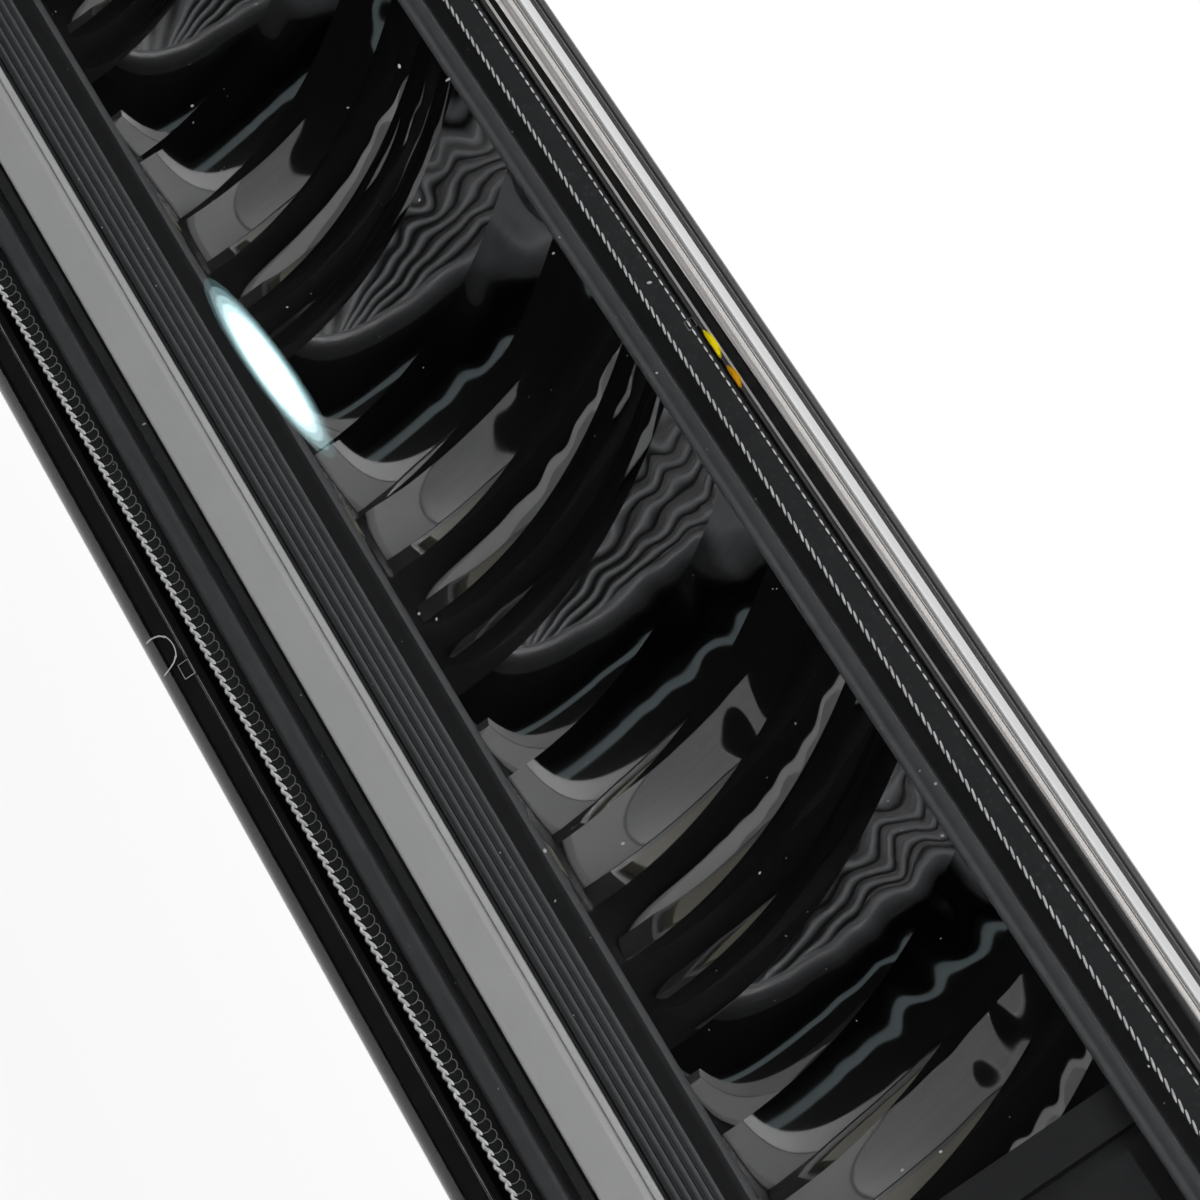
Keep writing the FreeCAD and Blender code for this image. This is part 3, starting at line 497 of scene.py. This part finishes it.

# %% [markdown]
# ## Bezel
# The real bezel is one black moulding with satin fields. Its ribs and its lip look paler, because they
# catch light from above; that light is painted into their colour as painted highlights. Its upper flange is
# sprinkled with faint dots. A ramp over the height gives each field its tone, a cosine paints a highlight
# on each rib, the lip's top is painted paler than its front, and a Voronoi texture gives the dots.

# %% Satin plastic
TONE_REACH = 0.0185
BEZEL_TONES = ((-18.0, 0.08), (-16.3, 0.08), (-16.1, 0.25), (-15.0, 0.22), (-14.8, 0.06), (-14.5, 0.12),
               (-13.6, 0.08), (-10.0, 0.1), (13.82, 0.1), (13.86, 0.42), (14.02, 0.42), (14.05, 0.15),
               (14.13, 0.15), (14.16, 0.46), (14.34, 0.46), (14.4, 0.26), (15.2, 0.26), (15.35, 0.05),
               (16.2, 0.05), (16.4, 0.15), (18.0, 0.15))
BEZEL_COLOUR = (0.194, 0.2, 0.208, 1)
DOT_PITCH = 0.0006
DOT_SIZE = 0.25
DOT_TONE = 0.07
DOTS_FROM = 0.0165
FIRST_RIB = 0.0170
RIB_PITCH = 0.000775
RIB_HIGHLIGHT_TONE = 0.42
RIB_HIGHLIGHT_SWING = 0.44
RIBS_FROM = 0.0145
LIP_FROM = 0.0206
LIP_TOP = -0.0083
LIP_TOP_HIGHLIGHT_TONE = 0.5
LIP_SIDE_TONE = 0.1


def satin_bezel():
    """Black moulding: satin fields, painted highlights on the ribs and the lip's top, two fine light lines on
    the rail, faint dots.
    """
    material, shader, place = new_finish("bezel_plastic")
    _, behind, above = separate(place)
    mottle = noise(place, 0.0009)
    stops = [((height / 1000 + TONE_REACH) / (2 * TONE_REACH), tone) for height, tone in BEZEL_TONES]
    spread = (above + TONE_REACH) * (0.5 / TONE_REACH)
    tone = spread.node("ShaderNodeValToRGB", {"stops": stops}, {0: spread})
    # Painted highlights: a cosine makes the top of each rib paler, and the lip's top is paler than its front,
    # for light from above.
    wave = (behind - FIRST_RIB) * (2 * math.pi / RIB_PITCH)
    rib_highlight = wave.maths("COSINE", wave) * RIB_HIGHLIGHT_SWING + RIB_HIGHLIGHT_TONE
    on_ribs = behind.maths("GREATER_THAN", behind, RIBS_FROM)
    on_lip = behind.maths("GREATER_THAN", behind, LIP_FROM)
    lip = above.maths("GREATER_THAN", above, LIP_TOP) * (LIP_TOP_HIGHLIGHT_TONE - LIP_SIDE_TONE) + LIP_SIDE_TONE
    cells = place.node("ShaderNodeTexVoronoi", None, {"Vector": place, "Scale": 1 / DOT_PITCH})
    dots = cells.maths("LESS_THAN", cells, DOT_SIZE) * above.maths("GREATER_THAN", above, DOTS_FROM)
    level = tone * (1 - on_ribs) + rib_highlight * (on_ribs - on_lip) + lip * on_lip + dots * DOT_TONE
    level = level * (mottle * 0.3 + 0.85)
    feed(shader, "Base Color", blend(level, grey(0.0), BEZEL_COLOUR))
    feed(shader, "Roughness", noise(place, 0.003) * 0.1 + 0.26)
    feed(shader, "Specular IOR Level", 0.2)
    feed(shader, "Normal", relief(mottle, 0.000001))
    return material


finishes["bezel_plastic"] = satin_bezel()
print("bezel finish ready")

# %% [markdown]
# ## Mirror, clear lens and boards
# The reflectors are vacuum coated, and the moulding under the coat is slightly wavy towards the top, which
# turns mirrored lines into zigzags. A bump map is enough for waves of hundredths of a millimetre. The
# lens is clear plastic. The boards are black, with a thin pale line printed along the front.

# %% Mirror, lens and board finishes
WAVES_FROM = -0.001
WAVES_RISE = 0.006
WAVES_GRAIN = 0.0034
WAVES_DEPTH = 0.000042
BOARD_LINE_HALF = 0.00016
BOARD_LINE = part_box("led_board_left")[0].y + 0.00048


def black_chrome():
    """Vacuum coating: a dark mirror with the slow waves of a moulding in its upper part."""
    material, shader, place = new_finish("reflector_chrome")
    _, _, above = separate(place)
    rise = (above - WAVES_FROM) * (1 / WAVES_RISE)
    upper = rise.node("ShaderNodeClamp", None, {0: rise})
    waves = (noise(place, WAVES_GRAIN, 0.0) - 0.5) * upper
    feed(shader, "Base Color", blend(noise(place, 0.01), grey(0.66), grey(0.7)))
    feed(shader, "Metallic", 1.0)
    feed(shader, "Roughness", noise(place, 0.003) * 0.02 + 0.02)
    feed(shader, "Normal", relief(waves, WAVES_DEPTH))
    return material


def clear_plastic():
    """Clear moulding. Lamps shine straight through it, and everything else is refracted."""
    material, shader, place = new_finish("clear_lens")
    tree = material.node_tree
    feed(shader, "Base Color", blend(noise(place, 0.01), (0.976, 0.98, 0.985, 1), (0.984, 0.986, 0.99, 1)))
    feed(shader, "Transmission Weight", 1.0)
    feed(shader, "IOR", 1.5)
    feed(shader, "Roughness", 0.0)
    light_path = Wire(tree, tree.nodes.new("ShaderNodeLightPath").outputs["Is Shadow Ray"])
    passing = light_path.maths("MAXIMUM", light_path, light_path.beside("Is Diffuse Ray"))
    open_air = passing.node("ShaderNodeBsdfTransparent", None, {"Color": grey(0.945)})
    mixed = passing.node("ShaderNodeMixShader", None,
                         {0: passing, 1: Wire(tree, shader.outputs[0]), 2: open_air})
    feed(tree.nodes["Material Output"], "Surface", mixed)
    return material


def dark_board():
    """Black solder mask with a pale printed line along its front edge."""
    material, shader, place = new_finish("board_dark")
    mottle = noise(place, 0.0008)
    depth = place.node("ShaderNodeSeparateXYZ", None, {0: place}, "Y")
    line = depth.maths("COMPARE", depth, BOARD_LINE)
    line.socket.node.inputs[2].default_value = BOARD_LINE_HALF
    feed(shader, "Base Color", blend(line, blend(mottle, grey(0.004), grey(0.009)), (0.30, 0.36, 0.37, 1)))
    feed(shader, "Roughness", noise(place, 0.002) * 0.1 + 0.6)
    feed(shader, "Specular IOR Level", 0.05)
    feed(shader, "Normal", relief(mottle, 0.000002))
    return material


finishes["board_dark"] = dark_board()
finishes["reflector_chrome"] = black_chrome()
finishes["clear_lens"] = clear_plastic()
print(len(finishes), "finishes")

# %% [markdown]
# ## Give every solid its finish
# The record names a slot for each solid, so one loop dresses them all. Two solids differ from the rest of
# their slot: the seal shows pale beads through the lens edge, partly painted reflection, and the LED cases
# are painted dark grey as painted shade.

# %% Dress the solids
for subpart in frame["record"]["subparts"]:
    node = nodes[subpart["node"]]
    node.data.materials.clear()
    node.data.materials.append(finishes[subpart["material_slot"]])
# Painted shade: the LED cases, white in their slot, get a dark grey copy because they lie in shade.
painted_shade_case = grained("painted_shade_case", grey(0.10), grey(0.14), 0.0005, 0.5, 0.000002)
nodes["lens_seal"].data.materials[0] = lens_bond_and_reflection()
nodes["led_packages"].data.materials[0] = painted_shade_case
print(len(nodes), "solids have a finish")

# %% [markdown]
# ## Reflector coating
# The real reflectors are moulded, and a mirror film follows every flute. The solids carry the same
# fluted bowls in coarse facets, and a mirror shows each facet. So a thin film of fine faces lies on
# them. A grid is added for one cell, its points are set by the bowl's formula, because no operator
# gives a paraboloid, and an array repeats the cell.

# %% Measure the reflectors
CELL_PITCH = 0.030
CELLS_PER_GROUP = 5
FIRST_MIDDLE_LEFT, FIRST_MIDDLE_RIGHT = -0.148, 0.028
FLUTES = 6
FLUTE_RISE = 0.00022
FOCAL_LENGTH = 0.0086
VERTEX_DEPTH = 0.034485
FILM_LIFT = 0.00008
FILM_THICKNESS = 0.00003
FILM_WELD = 0.000002
COLUMNS_PER_FLUTE = 14
ROWS = 48

reflector_low, reflector_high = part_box("reflector_left")
focus_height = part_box("led_phosphors")[1].z
board_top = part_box("led_board_left")[1].z
half_cell = CELL_PITCH / 2
flute_width = CELL_PITCH / FLUTES
vertex_behind = lens_low.y + VERTEX_DEPTH
print("reflector", [round(x, 5) for x in (*reflector_low, *reflector_high)])


# %% Mirror film
def bowl_surface(across, height):
    """How far back the fluted bowl lies, from the place in its cell and the height."""
    flute = min(int((across + half_cell) / flute_width), FLUTES - 1)
    near = flute * flute_width - half_cell
    share = (across - near) / flute_width
    chord = ((1 - share) * near ** 2 + share * (near + flute_width) ** 2) / (4 * FOCAL_LENGTH)
    bulge = 4 * FLUTE_RISE * share * (1 - share)
    return vertex_behind - chord - bulge - (height - focus_height) ** 2 / (4 * FOCAL_LENGTH)


def mirror_film(name, first_middle):
    """The coating of one group of cells, from its first cell's middle towards +X."""
    bpy.ops.object.select_all(action="DESELECT")
    bpy.ops.mesh.primitive_grid_add(x_subdivisions=FLUTES * COLUMNS_PER_FLUTE, y_subdivisions=ROWS, size=1)
    film = bpy.context.object
    film.name = name
    for point in film.data.vertices:
        across = point.co.x * CELL_PITCH
        height = board_top + (point.co.y + 0.5) * (reflector_high.z - board_top)
        point.co = (first_middle + across, bowl_surface(across, height) - FILM_LIFT, height)
    repeat_along(film, CELLS_PER_GROUP, CELL_PITCH, FILM_WELD)
    wall = film.modifiers.new("wall", "SOLIDIFY")
    wall.thickness = FILM_THICKNESS
    wall.offset = -1
    bpy.ops.object.modifier_apply(modifier="wall")
    bpy.ops.object.shade_smooth_by_angle(angle=math.radians(8))
    return finish_piece(film, finishes["reflector_chrome"])


for film in (mirror_film("mirror_film_left", FIRST_MIDDLE_LEFT),
             mirror_film("mirror_film_right", FIRST_MIDDLE_RIGHT)):
    print(film.name, len(film.data.polygons), "faces")

# %% [markdown]
# ## White plates on the boards, painted focused light
# The cells mirror a bright patch beside each LED, where the bowls focus light onto the board. A low white
# block stands in for that focused light as painted light. It is a small plate with softened edges and a
# sloped back, modelled once and repeated along each board.

# %% White plates of painted focused light beside the LEDs
PLATE_NEAR, PLATE_FAR = 0.0019, 0.0102
PLATE_FRONT, PLATE_BACK = 0.0252, 0.02675
PLATE_HEIGHT = 0.0007
PLATE_SLOPE = 0.00055
PLATE_BEVEL = 0.00004
SLOPE_MARGIN = 0.00002


def painted_focused_light_finish():
    """Painted focused light: white on the slope that faces the bowl, and painted shade, grey, on top."""
    material, shader, place = new_finish("painted_focused_light")
    _, behind, _ = separate(place)
    mottle = noise(place, 0.0005)
    focused_light_slope = behind.maths("GREATER_THAN", behind, PLATE_BACK - PLATE_SLOPE + SLOPE_MARGIN)
    feed(shader, "Base Color", blend(focused_light_slope, blend(mottle, grey(0.2), grey(0.27)), grey(0.95)))
    feed(shader, "Roughness", mottle * 0.1 + 0.45)
    feed(shader, "Normal", relief(mottle, 0.000002))
    return material


painted_focused_light = painted_focused_light_finish()


def focused_light_plates(name, first, side):
    """One plate of painted focused light beside each LED of a group, on the side that the group's bowls show.
    """
    near, far = sorted((first + side * PLATE_NEAR, first + side * PLATE_FAR))
    back, top = lens_low.y + PLATE_BACK, board_top + PLATE_HEIGHT
    plate = soft_block(name, (near, lens_low.y + PLATE_FRONT, board_top), (far, back, top), PLATE_BEVEL)
    cut_away(Vector((0, back, top - PLATE_SLOPE)), (0, -1, -1))
    repeat_along(plate, CELLS_PER_GROUP, CELL_PITCH)
    return finish_piece(plate, painted_focused_light)


for plates in (focused_light_plates("focused_light_plates_left", FIRST_MIDDLE_LEFT, -1),
               focused_light_plates("focused_light_plates_right", FIRST_MIDDLE_RIGHT, 1)):
    print(plates.name, len(plates.data.polygons), "faces")

# %% [markdown]
# ## Upper edge of the position light
# The opal bar has a thin rounded edge above its face, which catches more light than the face, so the edge
# is painted a paler grey as a painted highlight. It is a narrow block with softened edges.

# %% Edge of the opal bar
EDGE_HEIGHT, EDGE_DEPTH = 0.00032, 0.0004
EDGE_SEAT = 0.0001
EDGE_BEVEL = 0.00008
bar_low, bar_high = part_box("position_diffuser")
# Painted highlight: the same opal plastic in a paler grey.
edge_highlight_finish = grained("opal_edge_highlight", grey(0.4), grey(0.44), 0.004, 0.45, 0.0000005)
edge = soft_block("opal_edge_highlight", (bar_low.x, bar_low.y, bar_high.z - EDGE_SEAT),
                  (bar_high.x, bar_low.y + EDGE_DEPTH, bar_high.z + EDGE_HEIGHT), EDGE_BEVEL)
finish_piece(edge, edge_highlight_finish)
print(edge.name, [round(x, 4) for x in (bar_low.y - lens_low.y, bar_high.z - lens_middle.z)])

# %% [markdown]
# ## Marks along the lens edge
# The bonded edge of the lens shows fine marks: a twisted rope of clear adhesive along the lower edge of
# the bezel with strands across it, a row of arcs beside it, a serrated bead and a row of dashes along the
# upper edge, and the parting line of the mould in the lens corner. Each row is one small shape, cut
# from a primitive with few faces, and an array repeats it along the bar.

# %% Bead and arc rows
ROW_PITCH = 0.00074
ROW_HALF = 0.165
ROW_COUNT = int(2 * ROW_HALF / ROW_PITCH)
BEAD_SEAT = 0.3
ARC_SLANT = (0.8, 0, 1)
ARC_RADIUS, ARC_WIRE = 0.00044, 0.000028


def bead_row(name, place, size, lean, material):
    """A row of slanted oval drops, each cut flat where it sits on the bezel."""
    bpy.ops.object.select_all(action="DESELECT")
    bpy.ops.mesh.primitive_uv_sphere_add(segments=8, ring_count=6, radius=0.5, location=place)
    bead = bpy.context.object
    bead.name = name
    bead.scale = size
    bead.rotation_euler = (0, math.radians(lean), 0)
    settle()
    cut_away(place + Vector((0, size[1] * BEAD_SEAT, 0)), (0, -1, 0))
    repeat_along(bead, ROW_COUNT, ROW_PITCH)
    bpy.ops.object.shade_smooth()
    return finish_piece(bead, material)


def arc_row(name, place, material):
    """A row of flat arcs that face the lens, cut from thin rings."""
    bpy.ops.object.select_all(action="DESELECT")
    bpy.ops.mesh.primitive_torus_add(major_segments=14, minor_segments=4, major_radius=ARC_RADIUS,
                                     minor_radius=ARC_WIRE, location=place, rotation=(math.pi / 2, 0, 0))
    arc = bpy.context.object
    arc.name = name
    settle()
    cut_away(place, ARC_SLANT)
    repeat_along(arc, ROW_COUNT, ROW_PITCH)
    bpy.ops.object.shade_smooth()
    return finish_piece(arc, material)


adhesive = grained("white_adhesive", grey(0.3), grey(1.0), 0.0004, 0.3, 0.000004)
faint_mark = grained("faint_mark", grey(0.08), grey(0.5), 0.0006, 0.4, 0.000004)
line_mark = grained("line_mark", grey(0.25), grey(0.6), 0.0009, 0.4, 0.000004)
half_step = ROW_PITCH / 2
rope = bead_row("adhesive_rope", at_lens(-ROW_HALF, 0.00506, -0.01772), (0.00106, 0.00028, 0.00028),
                -21, adhesive)
strands = bead_row("adhesive_strands", at_lens(-ROW_HALF + half_step, 0.00502, -0.0178),
                   (0.0005, 0.0003, 0.0002), 24, adhesive)
arcs = arc_row("adhesive_arcs", at_lens(-ROW_HALF, 0.00517, -0.01722), faint_mark)
serration = bead_row("serrated_bead", at_lens(-ROW_HALF, 0.00711, 0.01641), (0.00094, 0.00018, 0.00016),
                     13, adhesive)
dashes = bead_row("upper_dashes", at_lens(-ROW_HALF, 0.00712, 0.01784), (0.0006, 0.00016, 0.00012),
                  0, adhesive)
for row in (rope, strands, arcs, serration, dashes):
    print(row.name, len(row.data.polygons), "faces")

# %% Parting line
TAB_NEAR, TAB_FAR = -0.0702, -0.0687
LINE_BEHIND, LINE_ABOVE = 0.0022, -0.01838
LINE_WIDTH = 0.00003
for name, near, far in (("parting_line_a", -ROW_HALF, TAB_NEAR), ("parting_line_b", TAB_FAR, ROW_HALF)):
    line = soft_block(name, at_lens(near, LINE_BEHIND, LINE_ABOVE),
                      at_lens(far, LINE_BEHIND + LINE_WIDTH, LINE_ABOVE + LINE_WIDTH), LINE_WIDTH / 5)
    finish_piece(line, faint_mark)
    print(line.name, len(line.data.polygons), "faces")

# %% [markdown]
# ## Sealant and moulding marks
# Black sealant lines the inner wall of the lens above and below the bezel. It is a thin ribbon that leans
# with the wall's draft and wets it, so it goes a hair into the wall. A gap of air there would act as a
# mirror. The lens also shows the round mark of an ejector pin and the small frames of
# locating tabs, which are rings shaped from a torus.

# %% Sealant ribbons
LENS_DRAFT = math.radians(4)
UPPER_REACH = (0.00455, 0.0052)
LOWER_REACH = (0.0023, 0.0099)
WALL_HEIGHT = 0.0183
RIBBON = 0.00025
RIBBON_BITE = 0.00003
sealant = grained("black_sealant", grey(0.006), grey(0.014), 0.0009, 0.8, 0.000004, gloss=0.0)


def ribbon(name, side, front, back):
    """A ribbon on the inner wall of the lens, above the bezel for side 1 and below it for side -1."""
    middle = (front + back) / 2
    wall = WALL_HEIGHT + middle * math.tan(LENS_DRAFT)
    strip = soft_block(name, (-ROW_HALF, front - middle, -RIBBON / 2),
                       (ROW_HALF, back - middle, RIBBON / 2), RIBBON / 5)
    strip.rotation_euler = (side * LENS_DRAFT, 0, 0)
    strip.location = at_lens(0, middle, side * (wall - RIBBON / 2 + RIBBON_BITE))
    settle()
    return finish_piece(strip, sealant)


for strip in (ribbon("sealant_upper", 1, *UPPER_REACH), ribbon("sealant_lower", -1, *LOWER_REACH)):
    print(strip.name, len(strip.data.polygons), "faces")

# %% Round mark and tab frames
MARK_PLACE = at_lens(-0.0714, 0.0019, -0.0196)
MARK_SIZE = (0.0027, 0.0018)
TAB_PLACE = at_lens((TAB_NEAR + TAB_FAR) / 2, 0.0021, -0.01868)
TAB_SIZE = (0.0016, 0.0009)
UPPER_TAB_PLACE = at_lens(-0.069, 0.00205, 0.0181)
UPPER_TAB_SIZE = (0.001, 0.0008)
EIGHTH_TURN = math.pi / 4


def ring_mark(name, place, size, corners, turn):
    """A thin ring that faces the lens front. With four corners it is a frame."""
    bpy.ops.object.select_all(action="DESELECT")
    bpy.ops.mesh.primitive_torus_add(major_segments=corners, minor_segments=4, major_radius=0.5,
                                     minor_radius=0.02, rotation=(0, 0, turn))
    ring = bpy.context.object
    ring.name = name
    settle()
    ring.scale = (size[0], size[1], (size[0] + size[1]) / 2)
    ring.rotation_euler = (math.pi / 2, 0, 0)
    ring.location = place
    settle()
    return finish_piece(ring, line_mark)


pin_mark = ring_mark("ejector_mark", MARK_PLACE, MARK_SIZE, 32, 0)
cut_away(MARK_PLACE, (0, 0, 1))
tab = ring_mark("tab_frame", TAB_PLACE, TAB_SIZE, 4, EIGHTH_TURN)
upper_tab = ring_mark("upper_tab_frame", UPPER_TAB_PLACE, UPPER_TAB_SIZE, 4, EIGHTH_TURN)
print(pin_mark.name, tab.name, upper_tab.name)

# %% [markdown]
# ## Amber glints, painted
# Two short amber slivers are painted glints in the upper joint: they stand in for the colour of the LED
# phosphor, which the edge of the lens refracts from behind it. They are half drops that go a little way into
# the wall.

# %% Amber slivers, painted glints
# Painted glints: two amber colours that stand in for the LED phosphor seen through the lens edge.
yellow_glint = grained("amber_yellow", (0.7, 0.55, 0.005, 1), (0.75, 0.62, 0.01, 1), 0.0005, 0.6, 0.000002,
                 gloss=0.0)
orange_glint = grained("amber_orange", (0.45, 0.2, 0.005, 1), (0.6, 0.3, 0.01, 1), 0.0004, 0.6, 0.000002,
                 gloss=0.0)
SLIVER_BEHIND = 0.00265
SLIVER_DEPTH, SLIVER_THICKNESS = 0.0005, 0.0004
for name, middle, length, finish in (("painted_amber_glint_a", -0.0672, 0.0024, yellow_glint),
                                     ("painted_amber_glint_b", -0.0644, 0.0019, orange_glint)):
    bpy.ops.object.select_all(action="DESELECT")
    bpy.ops.mesh.primitive_uv_sphere_add(segments=12, ring_count=8, radius=0.5)
    sliver = bpy.context.object
    sliver.name = name
    sliver.scale = (length, SLIVER_DEPTH, SLIVER_THICKNESS)
    sliver.rotation_euler = (LENS_DRAFT, 0, 0)
    place = at_lens(middle, SLIVER_BEHIND, WALL_HEIGHT + SLIVER_BEHIND * math.tan(LENS_DRAFT))
    sliver.location = place
    settle()
    cut_away(place, (0, -math.sin(LENS_DRAFT), math.cos(LENS_DRAFT)))
    bpy.ops.object.shade_smooth()
    finish_piece(sliver, finish)
    print(sliver.name, len(sliver.data.polygons), "faces")

# %% [markdown]
# ## Dust
# A close-up shows specks of dust on the inside of the lens. One seed makes the same specks each time.
# A speck is an icosphere of few faces, flattened against the lens.

# %% Dust on the lens
DUST_COUNT = 320
DUST_BEHIND = 0.00212
DUST_HALF = 0.0175
SPECK_LEAST, SPECK_SPREAD = 0.00003, 0.00008
SPECK_FLAT = 0.12
dust_places = random.Random(11)
dust_mark = grained("dust", grey(0.1), grey(0.6), 0.004, 0.7, 0.000004)
specks = []
for number in range(DUST_COUNT):
    place = at_lens(dust_places.uniform(-ROW_HALF, ROW_HALF), DUST_BEHIND,
                    dust_places.uniform(-DUST_HALF, DUST_HALF))
    size = SPECK_LEAST + SPECK_SPREAD * dust_places.random() ** 4
    bpy.ops.object.select_all(action="DESELECT")
    bpy.ops.mesh.primitive_ico_sphere_add(subdivisions=1, radius=size, location=place)
    speck = bpy.context.object
    speck.scale = (1 + dust_places.random(), SPECK_FLAT, 1)
    speck.rotation_euler = (0, dust_places.uniform(0, math.pi), 0)
    specks.append(speck)
bpy.ops.object.select_all(action="DESELECT")
for speck in specks:
    speck.select_set(True)
settle()
bpy.context.view_layer.objects.active = specks[0]
bpy.ops.object.join()
dust = bpy.context.object
dust.name = "lens_dust"
finish_piece(dust, dust_mark)
print(dust.name, len(dust.data.polygons), "faces")
